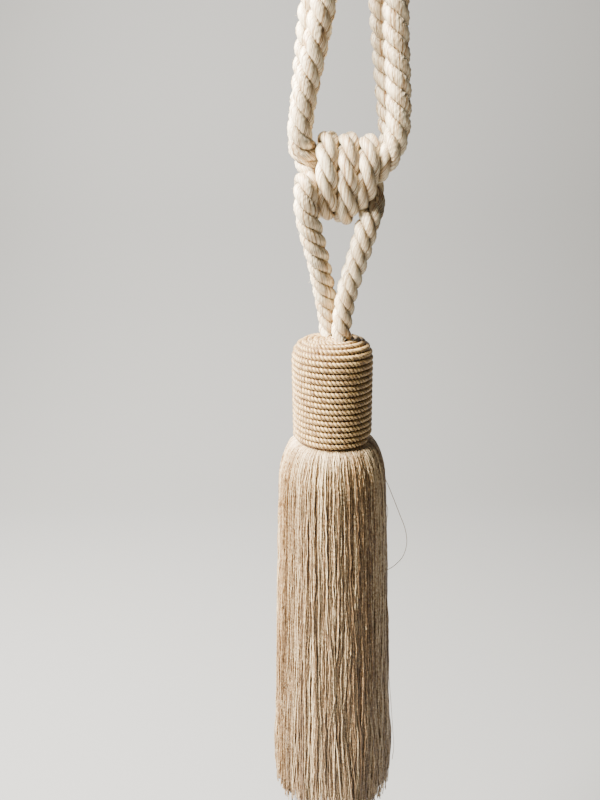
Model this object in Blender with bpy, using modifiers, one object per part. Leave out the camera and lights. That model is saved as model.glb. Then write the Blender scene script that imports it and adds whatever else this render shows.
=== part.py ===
# A curtain tieback: a thick twisted cord doubled into two arms, a second cord
# wound three times round it as a knot, and the long tassel that hangs from the
# second cord's two legs. The origin is where a hook holds the arms' top.
import math

import bmesh
import bpy
import numpy as np
from mathutils import Vector

MM = 0.001

# The knot's centre, seen from the hang point
KNOT = Vector((-3.7, 0.0, -167.4)) * MM

# The tassel's upright axis, seen from the knot's centre, in millimetres
TASSEL_X = -5.3

# Twisted cord: full radius, length of one twist of the three strands, the distance
# between two sections of the solid, and the steps that smooth a route's rows
CORD_RADIUS = 5.0
TWIST_LENGTH = 18.3
SECTION_STEP = 2.6
STEPS_BETWEEN_ROWS = 12

# One strand in the cord's section: angle from the strand's crest in degrees,
# share of the cord's radius
STRAND_SECTION = (
    (24.0, 1.0),
    (-24.0, 1.0),
    (-60.0, 0.70),
)
STRANDS = 3

# Holding cord from its first end in the knot up the left arm, down again, through
# the knot, up the right arm and back down. Columns: x, y, z from the knot's
# centre and the cord's radius there, in millimetres
HOLDING_ROUTE = (
    (0.0, 0.0, 5.6, 3.3),
    (-4.0, -0.2, 5.7, 3.3),
    (-8.0, -0.6, 6.2, 3.3),
    (-11.5, -1.5, 7.3, 3.4),
    (-14.8, -3.3, 9.5, 3.9),
    (-17.5, -4.8, 12.4, 4.5),
    (-18.3, -5.3, 16.2, 5.0),
    (-17.6, -5.4, 20.9, 5.0),
    (-16.3, -5.5, 28.4, 5.0),
    (-14.0, -5.6, 38.4, 5.0),
    (-11.3, -5.8, 48.9, 5.0),
    (-8.6, -6.0, 61.1, 5.0),
    (-5.9, -6.4, 76.4, 5.0),
    (-3.7, -7.2, 95.4, 5.0),
    (-2.4, -8.6, 116.4, 5.0),
    (-1.9, -10.2, 138.4, 5.0),
    (-1.8, -10.6, 161.8, 5.0),
    (-1.8, -7.5, 169.3, 5.0),
    (-1.8, 0.0, 172.4, 5.0),
    (-1.8, 7.5, 169.3, 5.0),
    (-1.8, 10.6, 161.8, 5.0),
    (-2.3, 10.2, 138.4, 5.0),
    (-3.9, 8.6, 116.4, 5.0),
    (-6.5, 7.2, 95.4, 5.0),
    (-9.9, 6.4, 78.4, 5.0),
    (-12.7, 6.0, 64.2, 5.0),
    (-14.7, 5.8, 48.4, 5.0),
    (-16.3, 5.6, 34.4, 5.0),
    (-17.5, 5.5, 23.4, 5.0),
    (-18.1, 5.3, 16.9, 4.9),
    (-18.0, 5.1, 12.0, 4.5),
    (-16.6, 4.6, 7.8, 3.9),
    (-14.5, 3.7, 3.4, 3.4),
    (-11.5, 2.0, 0.1, 3.3),
    (-8.0, 0.6, -0.9, 3.3),
    (-4.0, 0.2, -1.3, 3.3),
    (0.0, 0.0, -1.5, 3.3),
    (4.0, -0.2, -1.7, 3.3),
    (8.0, -0.6, -1.8, 3.3),
    (11.5, -1.9, -1.3, 3.3),
    (14.7, -4.3, 1.8, 3.6),
    (17.6, -5.4, 6.4, 4.1),
    (19.4, -5.4, 13.0, 4.8),
    (20.0, -5.5, 20.4, 5.0),
    (19.7, -5.6, 29.4, 5.0),
    (19.0, -5.7, 38.4, 5.0),
    (18.1, -5.8, 49.4, 5.0),
    (17.6, -6.0, 60.9, 5.0),
    (16.4, -6.4, 76.4, 5.0),
    (14.1, -7.2, 96.4, 5.0),
    (11.6, -8.6, 118.4, 5.0),
    (9.7, -10.2, 139.4, 5.0),
    (9.2, -10.6, 161.8, 5.0),
    (9.2, -7.5, 169.3, 5.0),
    (9.2, 0.0, 172.4, 5.0),
    (9.2, 7.5, 169.3, 5.0),
    (9.2, 10.6, 161.8, 5.0),
    (9.5, 10.2, 139.4, 5.0),
    (10.4, 8.6, 118.4, 5.0),
    (11.7, 7.2, 96.4, 5.0),
    (13.1, 6.4, 76.4, 5.0),
    (14.1, 6.0, 61.1, 5.0),
    (15.5, 5.8, 46.4, 5.0),
    (16.9, 5.6, 33.4, 5.0),
    (18.0, 5.4, 23.4, 5.0),
    (18.6, 5.2, 17.8, 4.6),
    (18.2, 3.7, 12.4, 3.8),
    (15.2, 1.4, 8.2, 3.3),
    (11.5, 0.6, 5.8, 3.3),
    (8.0, 0.3, 5.0, 3.3),
    (4.3, 0.2, 5.3, 3.3),
    (1.8, 0.0, 5.5, 3.3),
)

# Tassel cord's right leg, from the head up to the knot. Same columns
RIGHT_LEG = (
    (-1.8, -5.4, -65.1, 4.2),
    (-1.8, -5.4, -63.4, 4.2),
    (-1.6, -5.7, -59.6, 4.3),
    (-0.9, -6.0, -53.6, 4.5),
    (0.0, -6.1, -48.1, 4.6),
    (2.0, -6.3, -40.1, 4.8),
    (4.6, -6.5, -31.9, 5.0),
    (6.7, -6.7, -25.1, 4.8),
    (8.7, -5.8, -18.6, 4.5),
    (10.7, -2.8, -14.6, 4.1),
    (12.5, 1.6, -12.2, 3.7),
    (13.1, 5.8, -7.4, 3.5),
)

# Its left leg, from the knot down to the head. Same columns
LEFT_LEG = (
    (-12.5, 6.8, -7.0, 3.5),
    (-14.9, 4.0, -5.9, 3.4),
    (-16.0, 0.0, -5.0, 3.5),
    (-16.2, -5.0, -2.3, 4.0),
    (-16.3, -8.8, -4.2, 4.3),
    (-16.4, -9.8, -8.6, 4.6),
    (-15.9, -9.3, -13.6, 4.9),
    (-14.8, -8.0, -18.4, 5.0),
    (-13.5, -6.8, -23.6, 5.0),
    (-11.5, -4.2, -31.6, 5.0),
    (-9.6, -1.2, -40.4, 5.0),
    (-7.9, 1.8, -49.6, 4.9),
    (-6.5, 4.2, -58.6, 4.7),
    (-6.1, 5.2, -63.4, 4.6),
    (-6.1, 5.2, -65.1, 4.6),
)

# The three turns of the knot, right to left. Columns: x of the turn's front,
# height of its middle, half its height, sideways shift at its foot
WRAPS = (
    (8.3, 2.0, 10.3, -2.4),
    (0.3, -0.4, 13.6, -1.2),
    (-7.8, 0.9, 12.9, -0.6),
)
WRAP_CORD_RADIUS = 3.5
WRAP_DEPTH = 8.6
WRAP_FIRST_X = 14.9
WRAP_LAST_X = -15.8
EIGHTHS_BEFORE = 4
EIGHTHS_AFTER = 19
FRONT_LEAN = 0.9
SIDE_STRAIGHTNESS = 1.6
FIRST_PLACE = -0.6
LAST_PLACE = 2.6

# Tassel head, from the knot's centre: the body's radius under the winding, the
# winding cord's thickness, and the crown's and the neck's height
HEAD_RADIUS = 18.2
HEAD_WINDING = 2.64
HEAD_GROOVE = 0.75
HEAD_CROWN = -65.6
HEAD_NECK = -112.6
HEAD_SHOULDER = 6.0
HEAD_SEGMENTS = 26

# Tassel skirt: the band that the fringe is fused into, and the outer side of the
# outermost and of the inner locks. Columns: height from the knot's centre, radius
BAND_TOP = -112.9
BAND_THICKNESS = 3.0
BAND_RADIUS = 17.4
BAND_SEGMENTS = 48
SKIRT_SIDE = (
    (-115.0, 16.4),
    (-119.0, 21.3),
    (-129.6, 25.2),
    (-195.6, 28.2),
    (-315.0, 32.0),
)
INNER_SIDE = (
    (-115.0, 16.4),
    (-127.0, 24.3),
    (-315.0, 32.0),
)
OUTER_LOCKS = 76
RING_SHARES = (1.0, 0.8, 0.6, 0.41, 0.22)
LOCK_FULLNESS = 0.76
LOCK_DEPTH = 1.1
TIP_UNEVENNESS = 8.0
TIP_STEPS = 11

CREAM = (0.80, 0.70, 0.54)
TAN = (0.62, 0.48, 0.33)


def collection(name):
    made = bpy.data.collections.new(name)
    bpy.context.scene.collection.children.link(made)
    return made


def silk(name, colour):
    material = bpy.data.materials.new(name)
    material.use_nodes = True
    shader = material.node_tree.nodes["Principled BSDF"]
    shader.inputs["Base Color"].default_value = (*colour, 1.0)
    shader.inputs["Roughness"].default_value = 0.5
    material.diffuse_color = (*colour, 1.0)
    return material


# A smooth line through a route's rows, with a point at every equal step
def smoothed(rows, step):
    table = np.array(rows)
    padded = np.vstack((2 * table[0] - table[1], table, 2 * table[-1] - table[-2]))
    dense = []
    for i in range(1, len(padded) - 2):
        before, start, end, after = padded[i - 1:i + 3]
        for share in np.linspace(0.0, 1.0, STEPS_BETWEEN_ROWS, endpoint=False):
            dense.append(0.5 * (
                2 * start
                + (end - before) * share
                + (2 * before - 5 * start + 4 * end - after) * share ** 2
                + (3 * start - before - 3 * end + after) * share ** 3
            ))
    dense.append(padded[-2])
    dense = np.array(dense)
    spans = np.linalg.norm(np.diff(dense[:, :3], axis=0), axis=1)
    along = np.concatenate(([0.0], np.cumsum(spans)))
    count = max(2, round(along[-1] / step))
    places = np.linspace(0.0, along[-1], count + 1)
    return np.column_stack([np.interp(places, along, column) for column in dense.T])


# The cord's section, drawn at full size for the curves to follow
def cord_section(guides):
    curve = bpy.data.curves.new("cord_section", "CURVE")
    spline = curve.splines.new("POLY")
    spline.points.add(STRANDS * len(STRAND_SECTION) - 1)
    corner = 0
    for strand in range(STRANDS):
        for angle, share in STRAND_SECTION:
            turn = math.radians(angle - 360.0 * strand / STRANDS)
            radius = CORD_RADIUS * MM * share
            spline.points[corner].co = (
                radius * math.cos(turn), radius * math.sin(turn), 0.0, 1.0)
            corner += 1
    spline.use_cyclic_u = True
    section = bpy.data.objects.new("cord_section", curve)
    section.hide_render = True
    section.display_type = "WIRE"
    guides.objects.link(section)
    return section


# A twisted cord along a route: the section turns once in each twist's length
def twisted_cord(name, rows, section, parts, material):
    curve = bpy.data.curves.new(name, "CURVE")
    curve.dimensions = "3D"
    curve.twist_mode = "MINIMUM"
    curve.bevel_mode = "OBJECT"
    curve.bevel_object = section
    curve.use_fill_caps = True
    curve.resolution_u = 1
    curve.render_resolution_u = 0
    points = smoothed(rows, SECTION_STEP)
    spline = curve.splines.new("POLY")
    spline.points.add(len(points) - 1)
    along = 0.0
    for i, (x, y, z, radius) in enumerate(points):
        if i:
            along += np.linalg.norm(points[i, :3] - points[i - 1, :3])
        place = KNOT + Vector((x, y, z)) * MM
        spline.points[i].co = (*place, 1.0)
        spline.points[i].radius = radius / CORD_RADIUS
        spline.points[i].tilt = -2 * math.pi * along / TWIST_LENGTH
    curve.materials.append(material)
    cord = bpy.data.objects.new(name, curve)
    parts.objects.link(cord)
    return cord


# The knot's turns: down the front, under, up the back and over to the left
def wrap_rows():
    fronts = [WRAP_FIRST_X] + [row[0] for row in WRAPS] + [WRAP_LAST_X]
    turns = range(len(WRAPS))
    rows = []
    for eighth in range(-EIGHTHS_BEFORE, EIGHTHS_AFTER + 1):
        turn = eighth / 8
        angle = 2 * math.pi * turn
        place = turn - FRONT_LEAN * math.sin(angle) / (2 * math.pi)
        place = min(max(place, FIRST_PLACE), LAST_PLACE)
        x = np.interp(place, range(-1, len(WRAPS) + 1), fronts)
        middle = np.interp(place, turns, [row[1] for row in WRAPS])
        half_height = np.interp(place, turns, [row[2] for row in WRAPS])
        foot_shift = np.interp(place, turns, [row[3] for row in WRAPS])
        straight = max(-1.0, min(1.0, SIDE_STRAIGHTNESS * math.sin(angle)))
        x += foot_shift * max(0.0, math.sin(angle)) ** 2
        y = -WRAP_DEPTH * math.cos(angle)
        z = middle - (half_height - WRAP_DEPTH) * straight - WRAP_DEPTH * math.sin(angle)
        rows.append((x, y, z, WRAP_CORD_RADIUS))
    return tuple(rows)


# The head's outer side from the crown to the neck, with a rib for each turn of
# the winding: straight across the crown, round the shoulder, straight down
def head_side():
    crown_reach = HEAD_RADIUS - HEAD_SHOULDER
    corner = HEAD_SHOULDER * math.pi / 2
    depth = HEAD_CROWN - HEAD_NECK
    length = crown_reach + corner + depth - HEAD_SHOULDER
    turns = round(length / HEAD_WINDING)
    ribs = []
    for half in range(1, 2 * turns + 1):
        along = length * half / (2 * turns)
        inset = HEAD_GROOVE if half % 2 == 0 else 0.0
        if along < crown_reach:
            radius = along
            height = HEAD_CROWN - inset
        elif along < crown_reach + corner:
            turn = (along - crown_reach) / HEAD_SHOULDER
            bend = HEAD_SHOULDER - inset
            radius = crown_reach + bend * math.sin(turn)
            height = HEAD_CROWN - HEAD_SHOULDER + bend * math.cos(turn)
        else:
            radius = HEAD_RADIUS - inset
            height = HEAD_CROWN - HEAD_SHOULDER - (along - crown_reach - corner)
        ribs.append((radius, height))
    return [(0.0, HEAD_CROWN - HEAD_GROOVE)] + ribs + [(0.0, HEAD_NECK)]


# A solid turned round the tassel's axis from its side's points, top to bottom
def turned(name, side, segments, parts, material):
    axis = KNOT + Vector((TASSEL_X, 0.0, 0.0)) * MM
    mesh = bpy.data.meshes.new(name)
    points = [(radius * MM, 0.0, height * MM) for radius, height in side]
    edges = [(i, i + 1) for i in range(len(points) - 1)]
    mesh.from_pydata(points, edges, [])
    mesh.materials.append(material)
    solid = bpy.data.objects.new(name, mesh)
    solid.location = axis
    parts.objects.link(solid)
    screw = solid.modifiers.new("turn", "SCREW")
    screw.steps = segments
    screw.render_steps = segments
    screw.use_merge_vertices = True
    screw.merge_threshold = 1e-5
    screw.use_smooth_shade = False
    return solid


# The fringe's locks, ring inside ring, each a three-sided taper that widens as
# the skirt does and has a neighbour on both sides
def fringe(name, guides):
    shape = bmesh.new()
    for ring, share in enumerate(RING_SHARES):
        side = SKIRT_SIDE if ring == 0 else INNER_SIDE
        count = round(OUTER_LOCKS * share)
        for lock in range(count):
            angle = 2 * math.pi * (lock + 0.5 * (ring % 2)) / count
            outward = Vector((math.cos(angle), math.sin(angle), 0.0))
            sideways = Vector((-math.sin(angle), math.cos(angle), 0.0))
            tip_shift = TIP_UNEVENNESS * ((7 * lock + 3 * ring) % TIP_STEPS / TIP_STEPS)
            sections = []
            for row, (height, radius) in enumerate(side):
                reach = radius * share
                half = LOCK_FULLNESS * math.pi * reach / count
                depth = 2 * half * LOCK_DEPTH
                if row == len(side) - 1:
                    height += tip_shift
                middle = Vector((0.0, 0.0, height)) + outward * reach
                corners = (
                    middle - sideways * half,
                    middle + sideways * half,
                    middle - outward * depth,
                )
                sections.append([shape.verts.new(corner * MM) for corner in corners])
            for upper, lower in zip(sections, sections[1:]):
                for k in range(3):
                    after = (k + 1) % 3
                    shape.faces.new((upper[k], lower[k], lower[after], upper[after]))
            shape.faces.new(sections[0])
            shape.faces.new(reversed(sections[-1]))
    bmesh.ops.recalc_face_normals(shape, faces=shape.faces)
    mesh = bpy.data.meshes.new(name)
    shape.to_mesh(mesh)
    shape.free()
    locks = bpy.data.objects.new(name, mesh)
    locks.location = KNOT + Vector((TASSEL_X, 0.0, 0.0)) * MM
    locks.hide_render = True
    locks.display_type = "WIRE"
    guides.objects.link(locks)
    return locks


for leftover in list(bpy.data.objects):
    bpy.data.objects.remove(leftover)

tieback = collection("curtain_tieback")
guide_shapes = collection("guides")

cord_silk = silk("cord_silk", CREAM)
tassel_silk = silk("tassel_cord_silk", CREAM)
head_silk = silk("head_silk", TAN)
skirt_silk = silk("skirt_silk", CREAM)

# Holding cord
strand_profile = cord_section(guide_shapes)
twisted_cord("holding_cord", HOLDING_ROUTE, strand_profile, tieback, cord_silk)

# Tassel cord: right leg, knot, left leg
tassel_route = RIGHT_LEG + wrap_rows() + LEFT_LEG
twisted_cord("tassel_cord", tassel_route, strand_profile, tieback, tassel_silk)

# Tassel head
turned("tassel_head", head_side(), HEAD_SEGMENTS, tieback, head_silk)

# Tassel skirt: the fringe fused into its band
band_side = (
    (0.0, BAND_TOP),
    (BAND_RADIUS, BAND_TOP),
    (BAND_RADIUS, BAND_TOP - BAND_THICKNESS),
    (0.0, BAND_TOP - BAND_THICKNESS),
)
skirt = turned("tassel_skirt", band_side, BAND_SEGMENTS, tieback, skirt_silk)
fuse = skirt.modifiers.new("fringe", "BOOLEAN")
fuse.operation = "UNION"
fuse.solver = "EXACT"
fuse.object = fringe("fringe_locks", guide_shapes)
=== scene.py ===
# A curtain tieback. A thick twisted cord is doubled into two arms, a second cord is
# wound three times round it as a knot, and its two legs carry a long tassel.
import math

import bpy
import numpy as np
from mathutils import Matrix, Vector


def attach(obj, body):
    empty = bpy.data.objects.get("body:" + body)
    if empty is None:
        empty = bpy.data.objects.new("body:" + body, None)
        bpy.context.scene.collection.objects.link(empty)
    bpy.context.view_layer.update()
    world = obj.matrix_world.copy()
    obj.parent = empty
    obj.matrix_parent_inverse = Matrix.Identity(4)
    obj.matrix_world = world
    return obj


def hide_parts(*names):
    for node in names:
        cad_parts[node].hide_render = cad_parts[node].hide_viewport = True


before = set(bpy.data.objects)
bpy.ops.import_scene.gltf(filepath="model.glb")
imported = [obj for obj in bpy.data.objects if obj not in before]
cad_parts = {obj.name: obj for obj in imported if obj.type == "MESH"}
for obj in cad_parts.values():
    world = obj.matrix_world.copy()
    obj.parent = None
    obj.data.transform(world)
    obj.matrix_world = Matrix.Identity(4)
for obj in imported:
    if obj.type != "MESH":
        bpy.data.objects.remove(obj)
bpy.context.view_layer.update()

# The camera stands in front of the tassel, a little to its left and level with the
# knot, and looks down at it. The tieback hangs upright, so the picture leans by a
# degree.
CAMERA_PLACE = (-0.02374, -0.260, -0.175)
CAMERA_DOWN = math.radians(18.5)
CAMERA_LEAN = math.radians(1.05)

forward = Vector((0.0, math.cos(CAMERA_DOWN), -math.sin(CAMERA_DOWN)))
level_up = Vector((0.0, math.sin(CAMERA_DOWN), math.cos(CAMERA_DOWN)))
level_right = Vector((1.0, 0.0, 0.0))
up = math.sin(CAMERA_LEAN) * level_right + math.cos(CAMERA_LEAN) * level_up
right = math.cos(CAMERA_LEAN) * level_right - math.sin(CAMERA_LEAN) * level_up
view = bpy.data.cameras.new("camera")
view.lens = 27.05
view.sensor_width = 36.0
view.clip_start = 0.01
camera = bpy.data.objects.new("camera", view)
camera.matrix_world = Matrix.Translation(CAMERA_PLACE) @ Matrix(
    (right, up, -forward)).transposed().to_4x4()
bpy.context.scene.collection.objects.link(camera)
bpy.context.scene.camera = camera


# The holding cord: three strands of silky yarn twisted together, 10 mm thick. It
# comes out of the knot, goes up, over the hook and down again, through the knot, and
# round once more on the right. Both of its ends are inside the knot.
def put(tree, kind, settings, links):
    made = tree.nodes.new(kind)
    for setting, value in settings.items():
        setattr(made, setting, value)
    for socket, value in links.items():
        if isinstance(socket, int):
            end = made.inputs[socket]
        else:
            end = next(s for s in made.inputs if s.identifier == socket)
        if isinstance(value, bpy.types.NodeSocket):
            tree.links.new(value, end)
        else:
            end.default_value = value
    return made


def calc(tree, operation, *terms):
    made = put(tree, "ShaderNodeMath", {"operation": operation}, dict(enumerate(terms)))
    return made.outputs[0]


def along_vector(tree, operation, *terms):
    links = dict(enumerate(terms))
    if operation == "SCALE":
        links = {0: terms[0], 3: terms[1]}
    made = put(tree, "ShaderNodeVectorMath", {"operation": operation}, links)
    return made.outputs[1 if operation in ("LENGTH", "DOT_PRODUCT") else 0]


def named(tree, name, kind):
    made = put(tree, "GeometryNodeInputNamedAttribute", {"data_type": kind}, {"Name": name})
    return made.outputs[0]


def keep(tree, geometry, name, kind, value):
    made = put(tree, "GeometryNodeStoreNamedAttribute", {"data_type": kind, "domain": "POINT"},
               {"Geometry": geometry, "Name": name, "Value": value})
    return made.outputs[0]


def new_tree(name, sizes):
    tree = bpy.data.node_groups.new(name, "GeometryNodeTree")
    tree.interface.new_socket("Geometry", in_out="INPUT", socket_type="NodeSocketGeometry")
    tree.interface.new_socket("Geometry", in_out="OUTPUT", socket_type="NodeSocketGeometry")
    for label, kind, value in sizes:
        socket = tree.interface.new_socket(label, in_out="INPUT", socket_type="NodeSocket" + kind)
        if value is not None:
            socket.default_value = value
    given = tree.nodes.new("NodeGroupInput")
    return tree, {socket.name: socket for socket in given.outputs if socket.name}


def close_tree(tree, geometry, material):
    smooth = put(tree, "GeometryNodeSetShadeSmooth", {}, {"Geometry": geometry})
    real = put(tree, "GeometryNodeRealizeInstances", {}, {"Geometry": smooth.outputs[0]})
    dressed = put(tree, "GeometryNodeSetMaterial", {},
                  {"Geometry": real.outputs[0], "Material": material})
    leave = tree.nodes.new("NodeGroupOutput")
    tree.links.new(dressed.outputs[0], leave.inputs[0])


def made_by(tree, source, name, values):
    holder = bpy.data.objects.new(name + "_path", source)
    bpy.context.scene.collection.objects.link(holder)
    growth = holder.modifiers.new("growth", "NODES")
    growth.node_group = tree
    for item in tree.interface.items_tree:
        if item.in_out == "INPUT" and item.name in values:
            growth[item.identifier] = values[item.name]
    evaluated = holder.evaluated_get(bpy.context.evaluated_depsgraph_get())
    mesh = bpy.data.meshes.new_from_object(evaluated)
    mesh.name = name
    bpy.data.objects.remove(holder)
    piece = bpy.data.objects.new(name, mesh)
    bpy.context.scene.collection.objects.link(piece)
    return piece


def twisted_cord_tree():
    tree, given = new_tree("twisted_cord", (
        ("Section step", "Float", 0.001),
        ("Strands", "Int", 3),
        ("Strand distance", "Float", 0.52),
        ("Strand thickness", "Float", 0.49),
        ("Yarns", "Int", 20),
        ("Yarn relief", "Float", 0.12),
        ("Yarn turns", "Float", 2.79),
        ("Material", "Material", None),
    ))
    steps = put(tree, "GeometryNodeResampleCurve", {"mode": "LENGTH"},
                {"Curve": given["Geometry"], "Length": given["Section step"]})
    place = tree.nodes.new("GeometryNodeSplineParameter")
    line = keep(tree, steps.outputs[0], "along", "FLOAT", place.outputs["Length"])
    radius = tree.nodes.new("GeometryNodeInputRadius").outputs[0]
    line = keep(tree, line, "girth", "FLOAT", radius)
    tilt = tree.nodes.new("GeometryNodeInputCurveTilt").outputs[0]
    line = keep(tree, line, "turns", "FLOAT", calc(tree, "DIVIDE", tilt, -2 * math.pi))
    middle = put(tree, "GeometryNodeCurveToMesh", {}, {"Curve": line})
    copies = put(tree, "GeometryNodeDuplicateElements", {"domain": "SPLINE"},
                 {"Geometry": line, "Amount": given["Strands"]})
    line = keep(tree, copies.outputs[0], "strand", "FLOAT", copies.outputs["Duplicate Index"])
    turns = named(tree, "turns", "FLOAT")
    share = calc(tree, "DIVIDE", named(tree, "strand", "FLOAT"), given["Strands"])
    angle = calc(tree, "MULTIPLY", share, 2 * math.pi)
    normal = tree.nodes.new("GeometryNodeInputNormal").outputs[0]
    tangent = tree.nodes.new("GeometryNodeInputTangent").outputs[0]
    across = along_vector(tree, "CROSS_PRODUCT", tangent, normal)
    outward = along_vector(
        tree, "ADD",
        along_vector(tree, "SCALE", normal, calc(tree, "COSINE", angle)),
        along_vector(tree, "SCALE", across, calc(tree, "SINE", angle)))
    line = keep(tree, line, "outward", "FLOAT_VECTOR", outward)
    outward = named(tree, "outward", "FLOAT_VECTOR")
    reach = calc(tree, "MULTIPLY", radius, given["Strand distance"])
    moved = put(tree, "GeometryNodeSetPosition", {},
                {"Geometry": line, "Offset": along_vector(tree, "SCALE", outward, reach)})
    faced = put(tree, "GeometryNodeSetCurveNormal", {"mode": "FREE"},
                {"Curve": moved.outputs[0], "Normal": outward})
    lean = calc(tree, "MULTIPLY", calc(tree, "MULTIPLY", turns, given["Yarn turns"]),
                2 * math.pi)
    tilted = put(tree, "GeometryNodeSetCurveTilt", {}, {"Curve": faced.outputs[0], "Tilt": lean})
    corners = calc(tree, "MULTIPLY", given["Yarns"], 2)
    ring = put(tree, "GeometryNodeCurvePrimitiveCircle", {"mode": "RADIUS"},
               {"Resolution": corners, "Radius": 1.0})
    corner = tree.nodes.new("GeometryNodeInputIndex").outputs[0]
    where = tree.nodes.new("GeometryNodeInputPosition").outputs[0]
    ring = keep(tree, ring.outputs[0], "fibre", "FLOAT_VECTOR", where)
    groove = calc(tree, "COMPARE", calc(tree, "MODULO", corner, 2), 0, 0.5)
    ring = keep(tree, ring, "groove", "FLOAT", groove)
    inset = calc(tree, "SUBTRACT", 1.0, calc(tree, "MULTIPLY", groove, given["Yarn relief"]))
    ring = put(tree, "GeometryNodeSetPosition", {},
               {"Geometry": ring, "Position": along_vector(tree, "SCALE", where, inset)})
    body = put(tree, "GeometryNodeCurveToMesh", {},
               {"Curve": tilted.outputs[0], "Profile Curve": ring.outputs[0],
                "Scale": calc(tree, "MULTIPLY", radius, given["Strand thickness"]),
                "Fill Caps": True})
    near = put(tree, "GeometryNodeProximity", {"target_element": "EDGES"},
               {"Target": middle.outputs[0]})
    rim = calc(tree, "DIVIDE", near.outputs["Distance"], named(tree, "girth", "FLOAT"))
    shaped = keep(tree, body.outputs[0], "rim", "FLOAT", rim)
    close_tree(tree, shaped, given["Material"])
    return tree


# Silky yarn: fine fibres run along each strand in cream and tan streaks. Painted shade darkens the
# grooves between yarns, and darkens the deep places between the strands more.
def yarn_material(name, colours, fibre_scale, fibre_stretch, bump, shade_rim_from, shade_rim_to):
    deep, middle, light = colours
    material = bpy.data.materials.new(name)
    material.use_nodes = True
    tree = material.node_tree
    shader = tree.nodes["Principled BSDF"]
    shader.inputs["Roughness"].default_value = 0.40
    shader.inputs["Specular IOR Level"].default_value = 0.5
    shader.inputs["Sheen Weight"].default_value = 0.12
    shader.inputs["Sheen Roughness"].default_value = 0.4
    fibre = put(tree, "ShaderNodeAttribute", {"attribute_name": "fibre"}, {}).outputs["Vector"]
    along = put(tree, "ShaderNodeAttribute", {"attribute_name": "along"}, {}).outputs["Fac"]
    strand = put(tree, "ShaderNodeAttribute", {"attribute_name": "strand"}, {}).outputs["Fac"]
    groove = put(tree, "ShaderNodeAttribute", {"attribute_name": "groove"}, {}).outputs["Fac"]
    rim = put(tree, "ShaderNodeAttribute", {"attribute_name": "rim"}, {}).outputs["Fac"]
    shift = put(tree, "ShaderNodeCombineXYZ", {}, {
        "X": calc(tree, "MULTIPLY", strand, 17.3),
        "Z": calc(tree, "MULTIPLY", along, fibre_stretch)}).outputs[0]
    place = along_vector(tree, "ADD", fibre, shift)
    fine = put(tree, "ShaderNodeTexNoise", {},
               {"Vector": place, "Scale": fibre_scale, "Detail": 1.0, "Roughness": 0.6})
    patch = put(tree, "ShaderNodeTexNoise", {},
                {"Vector": place, "Scale": fibre_scale * 0.3, "Detail": 2.0})
    mixed = calc(tree, "ADD", calc(tree, "MULTIPLY", fine.outputs["Fac"], 0.80),
                 calc(tree, "MULTIPLY", patch.outputs["Fac"], 0.20))
    # Painted shade: the colour is pushed darker in the grooves between the yarns
    mixed = calc(tree, "SUBTRACT", mixed, calc(tree, "MULTIPLY", groove, 0.07))
    ramp = put(tree, "ShaderNodeValToRGB", {}, {"Fac": mixed})
    ramp.color_ramp.elements[0].position = 0.37
    ramp.color_ramp.elements[0].color = (*deep, 1.0)
    ramp.color_ramp.elements[1].position = 0.54
    ramp.color_ramp.elements[1].color = (*light, 1.0)
    ramp.color_ramp.elements.new(0.44).color = (*middle, 1.0)
    # Painted shade: the colour turns dark brown where the surface lies deep, near the cord's
    # middle between the strands
    depth = put(tree, "ShaderNodeMapRange", {}, {
        "Value": rim, "From Min": shade_rim_from, "From Max": shade_rim_to, "To Min": 0.52, "To Max": 1.0})
    painted_groove_shade = put(tree, "ShaderNodeMixRGB", {"blend_type": "MIX"}, {
        "Fac": depth.outputs[0],
        "Color1": (deep[0] * 0.50, deep[1] * 0.40, deep[2] * 0.30, 1.0),
        "Color2": ramp.outputs["Color"]})
    tree.links.new(painted_groove_shade.outputs["Color"], shader.inputs["Base Color"])
    relief = put(tree, "ShaderNodeBump", {},
                 {"Strength": bump, "Distance": 0.0002, "Height": fine.outputs["Fac"]})
    tree.links.new(relief.outputs[0], shader.inputs["Normal"])
    return material


# A smooth line through a route's rows, with a point at every equal step
STEPS_BETWEEN_ROWS = 12
POINT_STEP = 1.5


def smoothed(rows, step):
    table = np.array(rows)
    padded = np.vstack((2 * table[0] - table[1], table, 2 * table[-1] - table[-2]))
    dense = []
    for i in range(1, len(padded) - 2):
        before, start, end, after = padded[i - 1:i + 3]
        for share in np.linspace(0.0, 1.0, STEPS_BETWEEN_ROWS, endpoint=False):
            dense.append(0.5 * (
                2 * start
                + (end - before) * share
                + (2 * before - 5 * start + 4 * end - after) * share ** 2
                + (3 * start - before - 3 * end + after) * share ** 3
            ))
    dense.append(padded[-2])
    dense = np.array(dense)
    spans = np.linalg.norm(np.diff(dense[:, :3], axis=0), axis=1)
    length = np.concatenate(([0.0], np.cumsum(spans)))
    places = np.linspace(0.0, length[-1], round(length[-1] / step) + 1)
    return np.column_stack([np.interp(places, length, column) for column in dense.T])


# Rows from the knot's centre in millimetres become a curve in the frame's metres,
# which turns once in each twist's length
def path_curve(name, rows):
    points = smoothed(rows, POINT_STEP)
    curve = bpy.data.curves.new(name, "CURVE")
    curve.dimensions = "3D"
    spline = curve.splines.new("POLY")
    spline.points.add(len(points) - 1)
    for point, (x, y, z, radius, twist) in zip(spline.points, points):
        point.co = (*(KNOT + Vector((x, y, z)) * 0.001), 1.0)
        point.radius = radius * 0.001
    line = [list(point.co)[:3] for point in spline.points]
    spans = [math.dist(a, b) for a, b in zip(line, line[1:])]
    turns = np.cumsum(np.array([0.0] + spans) * 1000 / points[:, 4])
    for point, turn in zip(spline.points, turns):
        point.tilt = -2 * math.pi * turn
    return curve, line, sum(spans)


# A row of a route gets the length of one twist there, in millimetres
def twisted_every(twist, rows):
    return tuple((*row, twist) for row in rows)


KNOT = Vector((-0.0037, 0.0, -0.1674))
CORD_TWIST = 18.3

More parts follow.
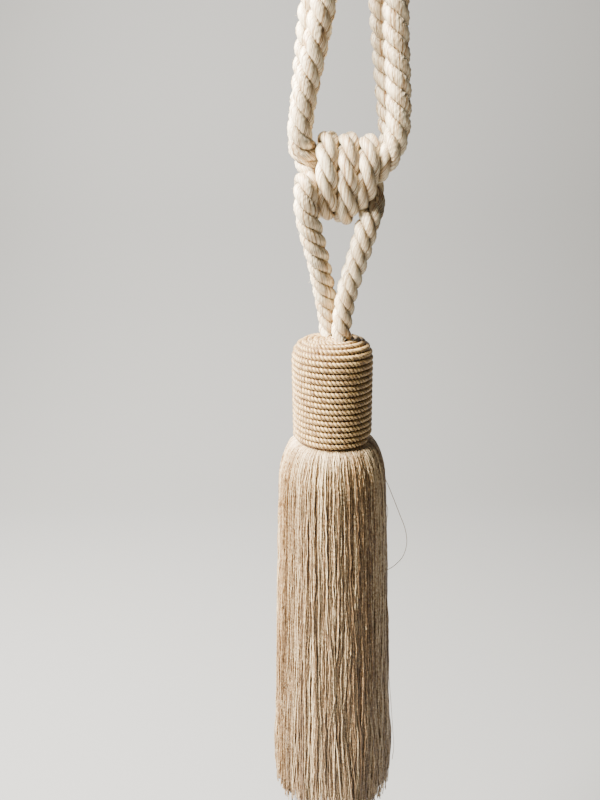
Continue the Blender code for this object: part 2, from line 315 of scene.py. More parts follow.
# Columns: x, y, z from the knot's centre and the cord's radius there, in millimetres
HOLDING_ROUTE = (
    (0.0, 0.0, 5.6, 3.3),
    (-4.0, -0.2, 5.7, 3.4),
    (-8.0, -0.6, 6.2, 3.6),
    (-11.5, -1.5, 7.3, 4.0),
    (-14.8, -3.3, 9.5, 4.6),
    (-17.5, -4.8, 12.4, 5.0),
    (-18.3, -5.3, 16.2, 5.1),
    (-17.6, -5.4, 20.9, 5.1),
    (-16.3, -5.5, 28.4, 5.1),
    (-14.0, -5.6, 38.4, 5.1),
    (-11.3, -5.8, 48.9, 5.1),
    (-8.6, -6.0, 61.1, 5.1),
    (-5.9, -6.4, 76.4, 5.1),
    (-3.7, -7.2, 95.4, 5.1),
    (-2.4, -8.6, 116.4, 5.1),
    (-1.9, -10.2, 138.4, 5.1),
    (-1.8, -10.6, 161.8, 5.1),
    (-1.8, -7.5, 169.3, 5.1),
    (-1.8, 0.0, 172.4, 5.1),
    (-1.8, 7.5, 169.3, 5.1),
    (-1.8, 10.6, 161.8, 5.1),
    (-2.3, 10.2, 138.4, 5.1),
    (-3.9, 8.6, 116.4, 5.1),
    (-6.5, 7.2, 95.4, 5.1),
    (-9.9, 6.4, 78.4, 5.1),
    (-12.7, 6.0, 64.2, 5.1),
    (-14.7, 5.8, 48.4, 5.1),
    (-16.3, 5.6, 34.4, 5.1),
    (-17.5, 5.5, 23.4, 5.1),
    (-18.1, 5.3, 16.9, 5.1),
    (-18.0, 5.1, 12.0, 5.0),
    (-16.6, 4.6, 7.8, 4.6),
    (-14.5, 3.7, 3.4, 4.1),
    (-11.5, 2.0, 0.1, 3.7),
    (-8.0, 0.6, -0.9, 3.5),
    (-4.0, 0.2, -1.3, 3.3),
    (0.0, 0.0, -1.5, 3.3),
    (4.0, -0.2, -1.7, 3.3),
    (8.0, -0.6, -1.8, 3.5),
    (11.5, -2.4, 0.2, 4.0),
    (14.7, -5.0, 4.2, 4.5),
    (17.6, -5.6, 8.9, 4.9),
    (19.4, -5.4, 14.4, 5.1),
    (20.0, -5.5, 20.4, 5.1),
    (19.7, -5.6, 29.4, 5.1),
    (19.0, -5.7, 38.4, 5.1),
    (18.1, -5.8, 49.4, 5.1),
    (17.6, -6.0, 60.9, 5.1),
    (16.4, -6.4, 76.4, 5.1),
    (14.1, -7.2, 96.4, 5.1),
    (11.6, -8.6, 118.4, 5.1),
    (9.7, -10.2, 139.4, 5.1),
    (9.2, -10.6, 161.8, 5.1),
    (9.2, -7.5, 169.3, 5.1),
    (9.2, 0.0, 172.4, 5.1),
    (9.2, 7.5, 169.3, 5.1),
    (9.2, 10.6, 161.8, 5.1),
    (9.5, 10.2, 139.4, 5.1),
    (10.4, 8.6, 118.4, 5.1),
    (11.7, 7.2, 96.4, 5.1),
    (13.1, 6.4, 76.4, 5.1),
    (14.1, 6.0, 61.1, 5.1),
    (15.5, 5.8, 46.4, 5.1),
    (16.9, 5.6, 33.4, 5.1),
    (18.0, 5.4, 23.4, 5.1),
    (18.6, 5.2, 17.8, 4.9),
    (18.2, 3.7, 12.4, 4.6),
    (15.2, 1.4, 8.2, 4.2),
    (11.5, 0.6, 5.8, 3.8),
    (8.0, 0.3, 5.0, 3.5),
    (4.3, 0.2, 5.3, 3.3),
    (1.8, 0.0, 5.5, 3.3),
)

cord_tree = twisted_cord_tree()
cord_silk = yarn_material(
    "cord_silk_yarn", ((0.29, 0.155, 0.060), (0.80, 0.585, 0.335), (1.0, 0.88, 0.62)),
    fibre_scale=8.0, fibre_stretch=12.0, bump=0.7, shade_rim_from=0.54, shade_rim_to=0.78)
holding_curve, holding_line, holding_length = path_curve(
    "holding_cord_route", twisted_every(CORD_TWIST, HOLDING_ROUTE))
holding_cord = made_by(cord_tree, holding_curve, "holding_cord_twisted",
                       {"Section step": 0.00110, "Material": cord_silk})
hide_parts("holding_cord")
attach(holding_cord, "root")

# The tassel cord: the same cord, wound three times round the holding cord. Its right
# leg comes up in front, and its left leg leaves the back under the left arm. Both
# legs end in the crown of the tassel's head.
RIGHT_LEG = (
    (-1.8, -5.4, -66.0, 4.6),
    (-1.8, -5.4, -63.4, 4.4),
    (-1.6, -5.7, -59.6, 4.4),
    (-0.9, -6.0, -53.6, 4.5),
    (0.0, -6.1, -48.1, 4.6),
    (2.0, -6.3, -40.1, 4.8),
    (4.6, -6.5, -31.9, 4.9),
    (6.7, -6.7, -25.1, 5.0),
    (8.5, -6.0, -18.6, 5.0),
    (10.2, -3.0, -14.2, 4.9),
    (12.3, 1.5, -12.0, 4.5),
    (13.1, 5.8, -7.4, 4.1),
)
LEFT_LEG = (
    (-12.5, 6.8, -7.0, 3.9),
    (-14.9, 4.0, -5.9, 4.0),
    (-16.0, 0.0, -3.9, 4.4),
    (-16.1, -5.0, -1.2, 4.8),
    (-16.2, -8.8, -3.2, 4.9),
    (-16.4, -9.8, -8.6, 5.0),
    (-15.9, -9.3, -13.6, 5.1),
    (-14.8, -8.0, -18.4, 5.1),
    (-13.5, -6.8, -23.6, 5.1),
    (-11.5, -4.2, -31.6, 5.0),
    (-9.6, -1.2, -40.4, 5.0),
    (-7.9, 1.8, -49.6, 5.0),
    (-6.5, 4.2, -58.6, 4.9),
    (-6.1, 5.2, -63.4, 4.9),
    (-6.1, 5.2, -66.0, 4.9),
)
# Columns: x of the turn's front, height of its middle, half its height, sideways
# shift at its foot
WRAPS = (
    (8.3, 1.7, 10.6, -2.4),
    (0.3, -0.4, 13.6, 0.2),
    (-7.8, 0.9, 12.9, 0.5),
)
FRONT_BEFORE, FRONT_AFTER = 14.9, -15.8
FIRST_PLACE, LAST_PLACE = -0.6, 2.6
SIDE_STEP = 0.9
TURN_DEPTH = 8.6
TURN_STRAIGHTNESS = 1.6
TURN_RADIUS = 4.6
TURN_TWIST = 26.0


# The turns go straight down the front and step sideways at the back
def wrap_rows():
    fronts = [FRONT_BEFORE] + [row[0] for row in WRAPS] + [FRONT_AFTER]
    rows = []
    for eighth in range(-4, 20):
        turn = eighth / 8
        angle = 2 * math.pi * turn
        place = turn - SIDE_STEP * math.sin(angle) / (2 * math.pi)
        place = min(max(place, FIRST_PLACE), LAST_PLACE)
        x = np.interp(place, range(-1, 4), fronts)
        middle = np.interp(place, range(3), [row[1] for row in WRAPS])
        half_height = np.interp(place, range(3), [row[2] for row in WRAPS])
        foot_shift = np.interp(place, range(3), [row[3] for row in WRAPS])
        straight = max(-1.0, min(1.0, TURN_STRAIGHTNESS * math.sin(angle)))
        x += foot_shift * max(0.0, math.sin(angle)) ** 2
        y = -TURN_DEPTH * math.cos(angle)
        z = middle - (half_height - TURN_DEPTH) * straight - TURN_DEPTH * math.sin(angle)
        rows.append((x, y, z, TURN_RADIUS))
    return tuple(rows)


tassel_curve, tassel_line, tassel_length = path_curve(
    "tassel_cord_route", twisted_every(CORD_TWIST, RIGHT_LEG)
    + twisted_every(TURN_TWIST, wrap_rows()) + twisted_every(CORD_TWIST, LEFT_LEG))
tassel_cord = made_by(cord_tree, tassel_curve, "tassel_cord_twisted",
                      {"Section step": 0.00100, "Material": cord_silk})
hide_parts("tassel_cord")
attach(tassel_cord, "root")


# The fuzz: fine loose ends of the yarn, which stand out from the strands' outsides on
# both cords and lean any way
def stray_fibre_tree():
    tree, given = new_tree("stray_fibres", (
        ("Fibres on a square metre", "Float", 35000.0),
        ("Fibre length", "Float", 0.0013),
        ("Fibre radius", "Float", 0.00003),
        ("Rim from", "Float", 0.75),
        ("Seed", "Int", 1),
        ("Material", "Material", None),
    ))
    outside = calc(tree, "GREATER_THAN", named(tree, "rim", "FLOAT"), given["Rim from"])
    spots = put(tree, "GeometryNodeDistributePointsOnFaces", {"distribute_method": "RANDOM"}, {
        "Mesh": given["Geometry"], "Selection": outside,
        "Density": given["Fibres on a square metre"], "Seed": given["Seed"]})
    bent = put(tree, "GeometryNodeCurveQuadraticBezier", {}, {
        "Resolution": 2, "Start": (0.0, 0.0, 0.0), "Middle": (0.0, 0.05, 0.55),
        "End": (0.0, 0.45, 0.90)})
    sized = put(tree, "GeometryNodeTransform", {}, {
        "Geometry": bent.outputs[0], "Scale": put(tree, "ShaderNodeCombineXYZ", {}, {
            "X": given["Fibre length"], "Y": given["Fibre length"],
            "Z": given["Fibre length"]}).outputs[0]})
    ring = put(tree, "GeometryNodeCurvePrimitiveCircle", {"mode": "RADIUS"},
               {"Resolution": 3, "Radius": given["Fibre radius"]})
    fibre = put(tree, "GeometryNodeCurveToMesh", {}, {
        "Curve": sized.outputs[0], "Profile Curve": ring.outputs[0], "Fill Caps": True})
    lean = put(tree, "FunctionNodeRandomValue", {"data_type": "FLOAT_VECTOR"}, {
        "Min": (0.7, 0.0, 0.0), "Max": (1.4, 0.0, 6.28), "Seed": given["Seed"]}).outputs[0]
    size = put(tree, "FunctionNodeRandomValue", {"data_type": "FLOAT"}, {
        "Min_001": 0.4, "Max_001": 1.2, "Seed": calc(tree, "ADD", given["Seed"], 2)}).outputs[1]
    grown = put(tree, "GeometryNodeInstanceOnPoints", {}, {
        "Points": spots.outputs["Points"], "Instance": fibre.outputs[0],
        "Rotation": spots.outputs["Rotation"], "Scale": size})
    leaned = put(tree, "GeometryNodeRotateInstances", {}, {
        "Instances": grown.outputs[0], "Rotation": lean, "Local Space": True})
    close_tree(tree, leaned.outputs[0], given["Material"])
    return tree


fibre_tree = stray_fibre_tree()
for cord, name, seed in ((holding_cord, "holding_cord_fuzz", 5),
                         (tassel_cord, "tassel_cord_fuzz", 6)):
    fuzz = made_by(fibre_tree, cord.data, name, {"Seed": seed, "Material": cord_silk})
    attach(fuzz, "root")


# The tassel's head: a round core wound from the crown to the neck with a thin cord of
# two plies, each turn laid hard against the last.
AXIS = KNOT + Vector((-0.0053, 0.0, 0.0))
HEAD_SIDE = (
    (0.6, -66.4),
    (4.0, -66.5),
    (8.0, -66.6),
    (11.5, -66.9),
    (14.0, -68.0),
    (15.8, -69.9),
    (16.7, -72.2),
    (17.0, -75.0),
    (17.0, -85.0),
    (17.0, -98.0),
    (17.0, -111.3),
)


def wound_cord_tree():
    tree, given = new_tree("wound_cord", (
        ("Points", "Int", 3200),
        ("Turn spacing", "Float", 0.00264),
        ("Section step", "Float", 0.00042),
        ("Cord radius", "Float", 0.00130),
        ("Plies", "Int", 2),
        ("Ply length", "Float", 0.00350),
        ("Material", "Material", None),
    ))
    start = put(tree, "GeometryNodeCurvePrimitiveLine", {}, {"End": (0.0, 0.0, 1.0)})
    line = put(tree, "GeometryNodeResampleCurve", {"mode": "COUNT"},
               {"Curve": start.outputs[0], "Count": given["Points"]})
    factor = tree.nodes.new("GeometryNodeSplineParameter").outputs["Factor"]
    side_length = put(tree, "GeometryNodeCurveLength", {}, {"Curve": given["Geometry"]}).outputs[0]
    down = calc(tree, "MULTIPLY", factor, side_length)
    side = put(tree, "GeometryNodeSampleCurve", {"mode": "LENGTH"},
               {"Curves": given["Geometry"], "Length": down})
    angle = calc(tree, "MULTIPLY", calc(tree, "DIVIDE", down, given["Turn spacing"]),
                 2 * math.pi)
    parts = put(tree, "ShaderNodeSeparateXYZ", {}, {"Vector": side.outputs["Position"]})
    round_place = put(tree, "ShaderNodeCombineXYZ", {}, {
        "X": calc(tree, "MULTIPLY", parts.outputs["X"], calc(tree, "COSINE", angle)),
        "Y": calc(tree, "MULTIPLY", parts.outputs["X"], calc(tree, "SINE", angle)),
        "Z": parts.outputs["Z"]})
    wound = put(tree, "GeometryNodeSetPosition", {},
                {"Geometry": line.outputs[0], "Position": round_place.outputs[0]})
    wound = put(tree, "GeometryNodeResampleCurve", {"mode": "LENGTH"},
                {"Curve": wound.outputs[0], "Length": given["Section step"]})
    length = tree.nodes.new("GeometryNodeSplineParameter").outputs["Length"]
    wound = keep(tree, wound.outputs[0], "along", "FLOAT", length)
    copies = put(tree, "GeometryNodeDuplicateElements", {"domain": "SPLINE"},
                 {"Geometry": wound, "Amount": given["Plies"]})
    middle = put(tree, "GeometryNodeCurveToMesh", {}, {"Curve": wound})
    wound = keep(tree, copies.outputs[0], "strand", "FLOAT", copies.outputs["Duplicate Index"])
    turns = calc(tree, "DIVIDE", named(tree, "along", "FLOAT"), given["Ply length"])
    share = calc(tree, "DIVIDE", named(tree, "strand", "FLOAT"), given["Plies"])
    angle = calc(tree, "MULTIPLY", calc(tree, "ADD", share, turns), 2 * math.pi)
    normal = tree.nodes.new("GeometryNodeInputNormal").outputs[0]
    tangent = tree.nodes.new("GeometryNodeInputTangent").outputs[0]
    across = along_vector(tree, "CROSS_PRODUCT", tangent, normal)
    outward = along_vector(
        tree, "ADD",
        along_vector(tree, "SCALE", normal, calc(tree, "COSINE", angle)),
        along_vector(tree, "SCALE", across, calc(tree, "SINE", angle)))
    reach = calc(tree, "MULTIPLY", given["Cord radius"], 0.46)
    moved = put(tree, "GeometryNodeSetPosition", {},
                {"Geometry": wound, "Offset": along_vector(tree, "SCALE", outward, reach)})
    ring = put(tree, "GeometryNodeCurvePrimitiveCircle", {"mode": "RADIUS"},
               {"Resolution": 7, "Radius": 1.0})
    where = tree.nodes.new("GeometryNodeInputPosition").outputs[0]
    ring = keep(tree, ring.outputs[0], "fibre", "FLOAT_VECTOR", where)
    body = put(tree, "GeometryNodeCurveToMesh", {},
               {"Curve": moved.outputs[0], "Profile Curve": ring,
                "Scale": calc(tree, "MULTIPLY", given["Cord radius"], 0.54),
                "Fill Caps": True})
    near = put(tree, "GeometryNodeProximity", {"target_element": "EDGES"},
               {"Target": middle.outputs[0]})
    rim = calc(tree, "DIVIDE", near.outputs["Distance"], given["Cord radius"])
    shaped = keep(tree, body.outputs[0], "rim", "FLOAT", rim)
    close_tree(tree, shaped, given["Material"])
    return tree


# A side given as radius and height rows becomes a curve in the plane of X and Z
def side_curve(name, rows):
    curve = bpy.data.curves.new(name, "CURVE")
    curve.dimensions = "3D"
    spline = curve.splines.new("POLY")
    spline.points.add(len(rows) - 1)
    for point, (radius, height) in zip(spline.points, rows):
        point.co = (radius * 0.001, 0.0, height * 0.001, 1.0)
    return curve


# What is made round the upright axis is moved to where the tassel hangs
def hang(piece):
    piece.data.transform(Matrix.Translation(AXIS))
    return piece


# The head's yarn gets the same painted shade, darkest in the gaps between its turns and plies
head_silk = yarn_material(
    "head_silk_yarn", ((0.11, 0.056, 0.020), (0.255, 0.142, 0.054), (0.58, 0.385, 0.155)),
    fibre_scale=2.0, fibre_stretch=250.0, bump=0.4, shade_rim_from=0.55, shade_rim_to=1.0)
head_winding = hang(made_by(
    wound_cord_tree(), side_curve("head_side", HEAD_SIDE), "tassel_head_winding",
    {"Material": head_silk}))
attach(head_winding, "root")

# The head's core is painted dark brown as painted shade, which shows in the gaps between the
# winding's turns
core = bpy.data.materials.new("head_core")
core.use_nodes = True
shade = core.node_tree.nodes["Principled BSDF"]
shade.inputs["Roughness"].default_value = 0.8
speck = put(core.node_tree, "ShaderNodeTexNoise", {}, {"Scale": 900.0})
core_shade_ramp = put(core.node_tree, "ShaderNodeValToRGB", {}, {"Fac": speck.outputs["Fac"]})
core_shade_ramp.color_ramp.elements[0].color = (0.10, 0.055, 0.025, 1.0)
core_shade_ramp.color_ramp.elements[1].color = (0.18, 0.10, 0.05, 1.0)
core.node_tree.links.new(core_shade_ramp.outputs["Color"], shade.inputs["Base Color"])
where = put(core.node_tree, "ShaderNodeTexCoord", {}, {})
core.node_tree.links.new(where.outputs["Object"], speck.inputs["Vector"])


# The head's core is turned to the winding's inside, so that no light comes through
def turned(name, rows, segments, material):
    verts = []
    faces = []
    for radius, height in rows:
        for k in range(segments):
            angle = 2 * math.pi * k / segments
            verts.append((radius * math.cos(angle) * 0.001,
                          radius * math.sin(angle) * 0.001, height * 0.001))
    for row in range(len(rows) - 1):
        for k in range(segments):
            after = (k + 1) % segments
            faces.append((row * segments + k, (row + 1) * segments + k,
                          (row + 1) * segments + after, row * segments + after))
    faces.append(tuple(range(segments)))
    faces.append(tuple(reversed(range((len(rows) - 1) * segments, len(rows) * segments))))
    mesh = bpy.data.meshes.new(name)
    mesh.from_pydata(verts, [], faces)
    mesh.materials.append(material)
    piece = bpy.data.objects.new(name, mesh)
    bpy.context.scene.collection.objects.link(piece)
    return hang(piece)


head_core = turned("tassel_head_core", (
    (12.0, -66.9), (15.0, -68.6), (16.6, -71.6), (16.9, -75.0), (16.9, -112.5)), 64, core)
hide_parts("tassel_head")
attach(head_core, "root")

# The skirt: thousands of fine crinkled threads, tied in under the head, that swell
# over the tie and hang to uneven ends. Cream and tan threads lie in streaks.
SKIRT_SIDE = (
    (13.5, -112.6),
    (16.8, -113.3),
    (19.3, -114.9),
    (21.2, -117.8),
    (22.8, -122.0),
    (24.3, -127.5),
    (25.0, -136.0),
    (25.7, -152.0),
    (27.1, -190.0),
    (29.1, -240.0),
    (31.0, -288.0),
    (31.6, -317.0),
)


def thread_tree():
    tree, given = new_tree("hanging_threads", (
        ("Threads", "Int", 800),
        ("Points", "Int", 60),
        ("Inner share", "Float", 0.9),
        ("Outer share", "Float", 1.0),
        ("Thread radius", "Float", 0.00045),
        ("Clump sway", "Float", 0.24),
        ("Clump depth", "Float", 0.007),
        ("End spread", "Float", 0.34),
        ("Wave", "Float", 0.0008),
        ("Crinkles a metre", "Float", 110.0),
        ("Uneven ends", "Float", 0.07),
        ("Painted layer shade", "Float", 0.0),
        ("Seed", "Int", 1),
        ("Material", "Material", None),
    ))
    start = put(tree, "GeometryNodeCurvePrimitiveLine", {}, {"End": (0.0, 0.0, 1.0)})
    line = put(tree, "GeometryNodeResampleCurve", {"mode": "COUNT"},
               {"Curve": start.outputs[0], "Count": given["Points"]})
    factor = tree.nodes.new("GeometryNodeSplineParameter").outputs["Factor"]
    line = keep(tree, line.outputs[0], "share_down", "FLOAT", factor)
    copies = put(tree, "GeometryNodeDuplicateElements", {"domain": "SPLINE"},
                 {"Geometry": line, "Amount": given["Threads"]})
    line = keep(tree, copies.outputs[0], "strand", "FLOAT", copies.outputs["Duplicate Index"])
    number = named(tree, "strand", "FLOAT")

    def chance(low, high, offset):
        return put(tree, "FunctionNodeRandomValue", {"data_type": "FLOAT"}, {
            "Min_001": low, "Max_001": high, "ID": number,
            "Seed": calc(tree, "ADD", given["Seed"], offset)}).outputs[1]

    place = calc(tree, "DIVIDE", number, given["Threads"])
    angle = calc(tree, "ADD", calc(tree, "MULTIPLY", place, 2 * math.pi),
                 chance(-0.01, 0.01, 3))
    layer = chance(given["Inner share"], given["Outer share"], 5)
    down = named(tree, "share_down", "FLOAT")
    ending = calc(tree, "SUBTRACT", 1.0, calc(tree, "MULTIPLY", given["Uneven ends"],
                                             chance(0.0, 1.0, 7)))
    side_length = put(tree, "GeometryNodeCurveLength", {}, {"Curve": given["Geometry"]}).outputs[0]
    eased = calc(tree, "POWER", down, 1.2)
    fall = calc(tree, "MULTIPLY", calc(tree, "MULTIPLY", eased, ending), side_length)
    side = put(tree, "GeometryNodeSampleCurve", {"mode": "LENGTH"},
               {"Curves": given["Geometry"], "Length": fall})
    parts = put(tree, "ShaderNodeSeparateXYZ", {}, {"Vector": side.outputs["Position"]})
    height = parts.outputs["Z"]
    clump = put(tree, "ShaderNodeTexNoise", {"noise_dimensions": "3D"}, {
        "Vector": put(tree, "ShaderNodeCombineXYZ", {}, {
            "X": calc(tree, "MULTIPLY", calc(tree, "COSINE", angle), 4.0),
            "Y": calc(tree, "MULTIPLY", calc(tree, "SINE", angle), 4.0),
            "Z": calc(tree, "MULTIPLY", height, 7.0)}).outputs[0],
        "Scale": 2.4, "Detail": 2.0})
    sway = calc(tree, "MULTIPLY", calc(tree, "SUBTRACT", clump.outputs["Fac"], 0.5),
                calc(tree, "MULTIPLY", given["Clump sway"], down))
    own = calc(tree, "ADD", calc(tree, "MULTIPLY", number, 3.7),
               calc(tree, "MULTIPLY", given["Seed"], 91.0))
    crinkle = put(tree, "ShaderNodeTexNoise", {"noise_dimensions": "3D"}, {
        "Vector": put(tree, "ShaderNodeCombineXYZ", {}, {
            "X": own, "Z": calc(tree, "MULTIPLY", fall, given["Crinkles a metre"])}).outputs[0],
        "Scale": 1.0, "Detail": 2.0, "Roughness": 0.8})
    shake = put(tree, "ShaderNodeSeparateXYZ", {}, {
        "Vector": along_vector(tree, "SUBTRACT", crinkle.outputs["Color"], (0.5, 0.5, 0.5))})
    free = calc(tree, "MINIMUM", calc(tree, "MULTIPLY", down, 30.0), 1.0)
    reach = calc(tree, "MULTIPLY", parts.outputs["X"], layer)
    reach = calc(tree, "ADD", reach, calc(
        tree, "MULTIPLY", calc(tree, "MULTIPLY", shake.outputs["X"], given["Wave"]),
        calc(tree, "MULTIPLY", free, 2.0)))
    reach = calc(tree, "ADD", reach, calc(
        tree, "MULTIPLY", calc(tree, "SUBTRACT", clump.outputs["Fac"], 0.5),
        calc(tree, "MULTIPLY", down, given["Clump depth"])))
    spread = calc(tree, "MULTIPLY", calc(tree, "POWER", chance(-1.0, 1.0, 11), 3.0),
                  calc(tree, "MULTIPLY", calc(tree, "POWER", down, 2.0), given["End spread"]))
    shift = calc(tree, "DIVIDE", calc(tree, "MULTIPLY", calc(
        tree, "MULTIPLY", shake.outputs["Y"], given["Wave"]), calc(
            tree, "MULTIPLY", free, 3.0)), calc(tree, "MAXIMUM", reach, 0.003))
    turned_to = calc(tree, "ADD", calc(tree, "ADD", angle, sway), calc(tree, "ADD", shift, spread))
    hung = put(tree, "ShaderNodeCombineXYZ", {}, {
        "X": calc(tree, "MULTIPLY", reach, calc(tree, "COSINE", turned_to)),
        "Y": calc(tree, "MULTIPLY", reach, calc(tree, "SINE", turned_to)),
        "Z": height})
    line = put(tree, "GeometryNodeSetPosition", {},
               {"Geometry": line, "Position": hung.outputs[0]})
    streak = put(tree, "ShaderNodeTexNoise", {"noise_dimensions": "3D"}, {
        "Vector": put(tree, "ShaderNodeCombineXYZ", {}, {
            "X": calc(tree, "MULTIPLY", calc(tree, "COSINE", angle), 9.0),
            "Y": calc(tree, "MULTIPLY", calc(tree, "SINE", angle), 9.0),
            "Z": given["Seed"]}).outputs[0],
        "Scale": 1.0, "Detail": 2.0})
    tint = calc(tree, "ADD", calc(tree, "MULTIPLY", streak.outputs["Fac"], 0.9),
                chance(-0.10, 0.18, 13))
    # Painted shade: the layer's value lowers the tint of the under and inside threads
    tint = calc(tree, "ADD", tint, given["Painted layer shade"])
    line = keep(tree, line.outputs[0], "tint", "FLOAT", tint)
    length = tree.nodes.new("GeometryNodeSplineParameter").outputs["Length"]
    line = keep(tree, line, "along", "FLOAT", length)
    ring = put(tree, "GeometryNodeCurvePrimitiveCircle", {"mode": "RADIUS"},
               {"Resolution": 3, "Radius": 1.0})
    thick = calc(tree, "MULTIPLY", given["Thread radius"], chance(0.75, 1.25, 17))
    body = put(tree, "GeometryNodeCurveToMesh", {},
               {"Curve": line, "Profile Curve": ring.outputs[0], "Scale": thick,
                "Fill Caps": True})
    close_tree(tree, body.outputs[0], given["Material"])
    return tree


# Fine twisted threads: each has its own tint and is flecked along its twist. The flecks are partly
# the yarn's own colour and partly painted glints of the twist. All threads get a painted highlight
# where they swell over the tie, where light from above falls.
def thread_material(name, light, deep, white):
    material = bpy.data.materials.new(name)
    material.use_nodes = True
    tree = material.node_tree
    shader = tree.nodes["Principled BSDF"]
    shader.inputs["Roughness"].default_value = 0.42
    shader.inputs["Specular IOR Level"].default_value = 0.4
    shader.inputs["Sheen Weight"].default_value = 0.10
    tint = put(tree, "ShaderNodeAttribute", {"attribute_name": "tint"}, {}).outputs["Fac"]
    along = put(tree, "ShaderNodeAttribute", {"attribute_name": "along"}, {}).outputs["Fac"]
    strand = put(tree, "ShaderNodeAttribute", {"attribute_name": "strand"}, {}).outputs["Fac"]
    down = put(tree, "ShaderNodeAttribute", {"attribute_name": "share_down"}, {}).outputs["Fac"]
    place = put(tree, "ShaderNodeCombineXYZ", {}, {
        "X": calc(tree, "MULTIPLY", strand, 5.3),
        "Y": calc(tree, "MULTIPLY", along, 800.0)}).outputs[0]
    twist = put(tree, "ShaderNodeTexNoise", {}, {"Vector": place, "Scale": 1.0, "Detail": 2.0})
    # The twist's flecks are partly the yarn's own colour and partly painted glints of the twist
    mixed = calc(tree, "ADD", calc(tree, "MULTIPLY", tint, 0.62), calc(
        tree, "SUBTRACT", calc(tree, "MULTIPLY", twist.outputs["Fac"], 0.54), 0.08))
    # Painted highlight: the threads are lighter near the top, where they swell over the tie and
    # face the light from above
    painted_shoulder_highlight = calc(tree, "MULTIPLY", calc(tree, "SUBTRACT", 1.0, calc(
        tree, "MINIMUM", calc(tree, "MULTIPLY", down, 5.0), 1.0)), 0.10)
    mixed = calc(tree, "ADD", mixed, painted_shoulder_highlight)
    ramp = put(tree, "ShaderNodeValToRGB", {}, {"Fac": mixed})
    ramp.color_ramp.elements[0].position = 0.36
    ramp.color_ramp.elements[0].color = (*deep, 1.0)
    ramp.color_ramp.elements[1].position = 0.62
    ramp.color_ramp.elements[1].color = (*white, 1.0)
    middle = ramp.color_ramp.elements.new(0.48)
    middle.color = (*light, 1.0)
    tree.links.new(ramp.outputs["Color"], shader.inputs["Base Color"])
    relief = put(tree, "ShaderNodeBump", {},
                 {"Strength": 0.8, "Distance": 0.0003, "Height": twist.outputs["Fac"]})
    tree.links.new(relief.outputs[0], shader.inputs["Normal"])
    return material


skirt_silk = thread_material("skirt_silk_threads", (0.318, 0.186, 0.077), (0.118, 0.061, 0.023),
                             (0.68, 0.515, 0.30))
threads = thread_tree()
skirt_side = side_curve("skirt_side", SKIRT_SIDE)
# Columns: name, threads, points in each, inner and outer share of the skirt's radius,
# thread radius in metres, painted layer shade (lower for the under and inside layers, as painted
# shade beneath the outer threads), seed
SKIRT_LAYERS = (
    ("tassel_skirt_outside", 580, 56, 0.97, 1.012, 0.00028, 0.01, 1),
    ("tassel_skirt_second", 580, 56, 0.945, 1.0, 0.00028, 0.0, 4),
    ("tassel_skirt_under", 600, 26, 0.90, 0.97, 0.00040, -0.10, 2),
    ("tassel_skirt_inside", 600, 12, 0.10, 0.92, 0.00075, -0.14, 3),
)
for name, count, points, inner, outer, thickness, painted_layer_shade, seed in SKIRT_LAYERS:
    layer = hang(made_by(threads, skirt_side, name, {
        "Threads": count, "Points": points, "Inner share": inner, "Outer share": outer,
        "Thread radius": thickness, "Painted layer shade": painted_layer_shade, "Seed": seed,
        "Material": skirt_silk}))
    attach(layer, "root")
    if name == "tassel_skirt_outside":
        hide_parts("tassel_skirt")

# One thread is pulled out of the skirt on the right in a long loop and goes back in,
# and a shorter one stands out beside it
PULLED_THREADS = (
    ((15.5, -5.0, -123.5), (18.7, -3.0, -131.6), (21.1, -2.0, -137.4), (24.4, -1.0, -145.9),
     (27.7, 0.0, -154.7), (30.2, 0.0, -161.4), (31.4, 0.0, -167.0), (31.5, 0.0, -172.1),
     (29.8, 0.0, -178.4), (26.0, -1.0, -182.3), (22.9, -2.0, -183.9), (19.0, -5.0, -183.7)),
    ((17.5, -5.0, -140.2), (20.2, -3.0, -146.4), (21.4, -2.0, -151.3), (20.7, -3.0, -155.0),
     (17.9, -5.0, -157.6)),
    ((20.6, -5.0, -222.0), (22.9, -3.0, -232.7), (25.7, -2.0, -260.1), (28.3, -1.0, -289.2),
     (29.4, 0.0, -302.2), (28.6, -1.0, -310.5)),
)
PULLED_RADIUS = 0.00018
PULLED_TINT = 0.42
pulled_curve = bpy.data.curves.new("pulled_threads", "CURVE")
pulled_curve.dimensions = "3D"
pulled_curve.bevel_depth = 1.0
pulled_curve.bevel_resolution = 0
for rows in PULLED_THREADS:
    points = smoothed(rows, POINT_STEP)
    spline = pulled_curve.splines.new("POLY")
    spline.points.add(len(points) - 1)
    for point, place in zip(spline.points, points):
        point.co = (*(KNOT + Vector(place) * 0.001), 1.0)
        point.radius = PULLED_RADIUS
holder = bpy.data.objects.new("pulled_threads", pulled_curve)
pulled_mesh = bpy.data.meshes.new_from_object(holder)
pulled_mesh.attributes.new("tint", "FLOAT", "POINT").data.foreach_set(
    "value", np.full(len(pulled_mesh.vertices), PULLED_TINT))
pulled_mesh.materials.append(skirt_silk)
bpy.data.objects.remove(holder)
pulled = bpy.data.objects.new("tassel_skirt_pulled", pulled_mesh)
bpy.context.scene.collection.objects.link(pulled)
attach(pulled, "root")

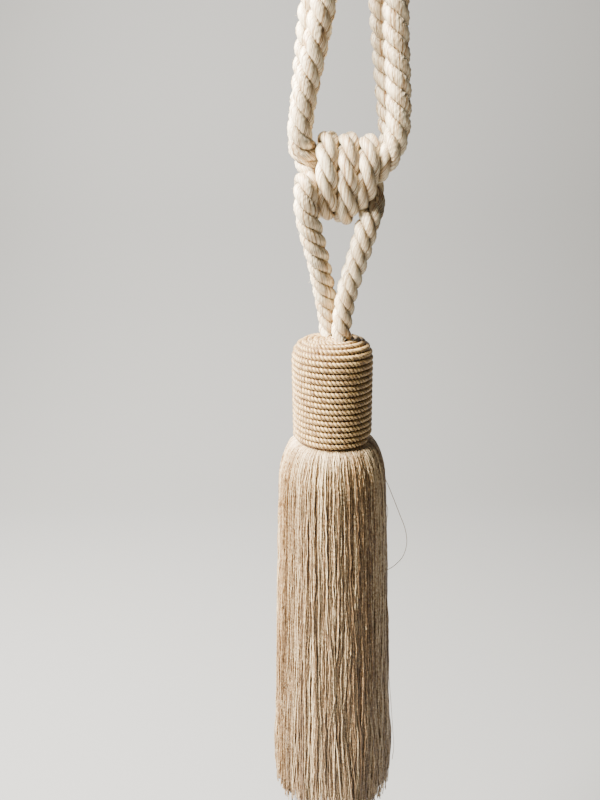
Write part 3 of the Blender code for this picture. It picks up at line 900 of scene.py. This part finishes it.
# A plain pale floor that curves up into the backdrop
FLOOR = -0.80
FRONT_EDGE = -1.6
BEND_START = 0.9
BEND_RADIUS = 0.6
BEND_STEPS = 12
BACKDROP_TOP = 3.0
HALF_WIDTH = 2.2
rows = [(FRONT_EDGE, 0.0), (BEND_START, 0.0)]
for k in range(1, BEND_STEPS + 1):
    angle = math.pi / 2 * k / BEND_STEPS
    rows.append((BEND_START + BEND_RADIUS * math.sin(angle), BEND_RADIUS * (1 - math.cos(angle))))
rows.append((BEND_START + BEND_RADIUS, BACKDROP_TOP))
verts = [(x, y, FLOOR + z) for y, z in rows for x in (-HALF_WIDTH, HALF_WIDTH)]
faces = [(2 * k, 2 * k + 1, 2 * k + 3, 2 * k + 2) for k in range(len(rows) - 1)]
sweep = bpy.data.meshes.new("floor_sweep")
sweep.from_pydata(verts, [], faces)
for face in sweep.polygons:
    face.use_smooth = True
pale = bpy.data.materials.new("pale_floor")
pale.use_nodes = True
pale.node_tree.nodes["Principled BSDF"].inputs["Base Color"].default_value = (
    0.31, 0.31, 0.31, 1.0)
pale.node_tree.nodes["Principled BSDF"].inputs["Roughness"].default_value = 0.9
sweep.materials.append(pale)
floor = bpy.data.objects.new("floor_sweep", sweep)
bpy.context.scene.collection.objects.link(floor)

# Soft light: a large lamp high on the left, a weak one in front, one behind for the
# back, and a weak even light all round
# Columns: name, place, size, power, colour
LAMPS = (
    ("window_light", (-0.85, -0.21, 0.67), 0.7, 225.0, (1.0, 0.96, 0.88)),
    ("fill_light", (0.2, -1.4, 0.4), 1.0, 0.7, (1.0, 1.0, 1.0)),
    ("back_light", (-0.1, 1.2, 0.2), 0.6, 3.0, (1.0, 1.0, 1.0)),
)
LIT_PLACE = Vector((-0.005, 0.0, -0.28))
for name, place, size, power, colour in LAMPS:
    lamp = bpy.data.lights.new(name, "AREA")
    lamp.shape = "SQUARE"
    lamp.size = size
    lamp.energy = power
    lamp.color = colour
    holder = bpy.data.objects.new(name, lamp)
    aim = (LIT_PLACE - Vector(place)).to_track_quat("-Z", "Y")
    holder.matrix_world = Matrix.Translation(place) @ aim.to_matrix().to_4x4()
    bpy.context.scene.collection.objects.link(holder)
world = bpy.data.worlds.new("even_light")
bpy.context.scene.world = world
world.use_nodes = True
world.node_tree.nodes["Background"].inputs["Color"].default_value = (1.0, 1.0, 1.0, 1.0)
world.node_tree.nodes["Background"].inputs["Strength"].default_value = 0.05
